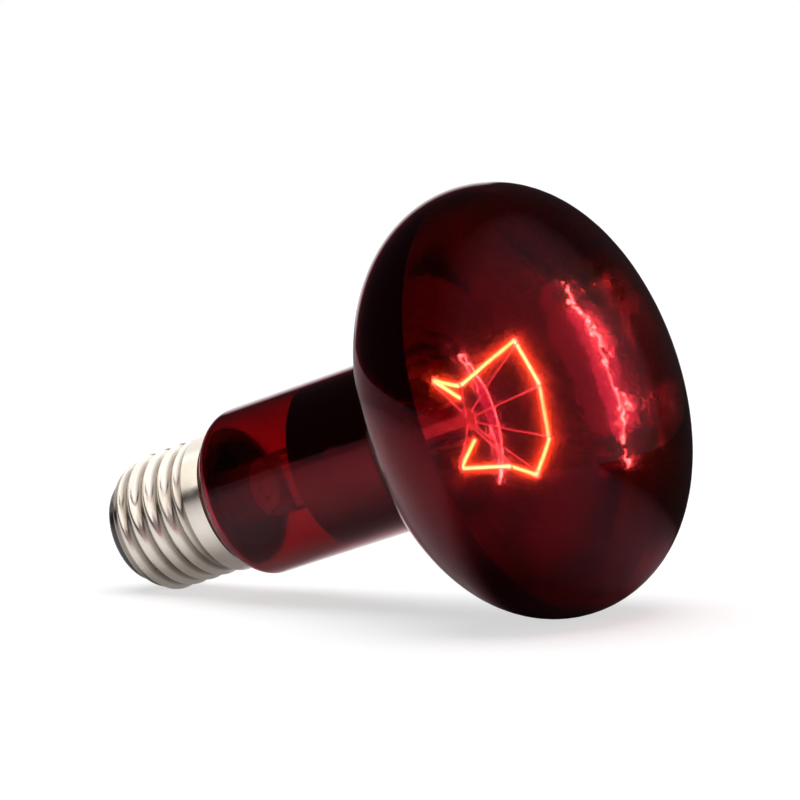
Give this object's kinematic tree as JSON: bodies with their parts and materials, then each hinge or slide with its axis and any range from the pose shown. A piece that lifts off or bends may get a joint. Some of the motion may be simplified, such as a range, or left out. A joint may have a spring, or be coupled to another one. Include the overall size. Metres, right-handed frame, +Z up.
{
  "type": "infrared heat lamp bulb",
  "caption": "Ruby glass infrared reflector lamp with a mirrored bowl, domed face, slim neck, hung filament and nickel Edison screw cap, lying on its side.",
  "frame": {"origin": "middle of the bounding box at the surface the lamp lies on", "axes": "+Z up; +X the long way, from the screw cap towards the face; the lamp axis rises from cap to face by the lying tilt, in the XZ plane"},
  "size_m": [0.1134, 0.08, 0.0777],
  "materials": {
    "ruby_glass": "deep ruby blown glass, glossy",
    "mirror_film": "evaporated aluminium behind glass, slightly rippled",
    "clear_glass": "clear lead glass",
    "hot_tungsten": "coiled tungsten wire, glowing orange",
    "molybdenum_wire": "drawn grey wire",
    "nickel_wire": "drawn nickel wire",
    "copper_wire": "bare copper wire",
    "nickel_shell": "thin brass sheet, bright nickel plated",
    "black_glass": "moulded black glass",
    "brass": "pressed brass",
    "solder": "tin solder, dull",
    "cement": "baked basing cement, matt"
  },
  "bodies": {
    "root": {"glass_envelope": "ruby_glass", "reflector_film": "mirror_film", "stem": "clear_glass", "exhaust_tube": "clear_glass", "arbor_rod": "clear_glass", "inner_lead_1": "nickel_wire", "inner_lead_2": "nickel_wire", "seal_wire_1": "copper_wire", "seal_wire_2": "copper_wire", "outer_lead_1": "copper_wire", "outer_lead_2": "copper_wire", "filament": "hot_tungsten", "support_wire_1": "molybdenum_wire", "support_wire_2": "molybdenum_wire", "support_wire_3": "molybdenum_wire", "support_wire_4": "molybdenum_wire", "support_wire_5": "molybdenum_wire", "support_wire_6": "molybdenum_wire", "support_wire_7": "molybdenum_wire", "support_wire_8": "molybdenum_wire", "screw_shell": "nickel_shell", "cap_insulator": "black_glass", "centre_contact": "brass", "centre_solder": "solder", "side_solder": "solder", "basing_cement": "cement"}
  },
  "joints": []
}
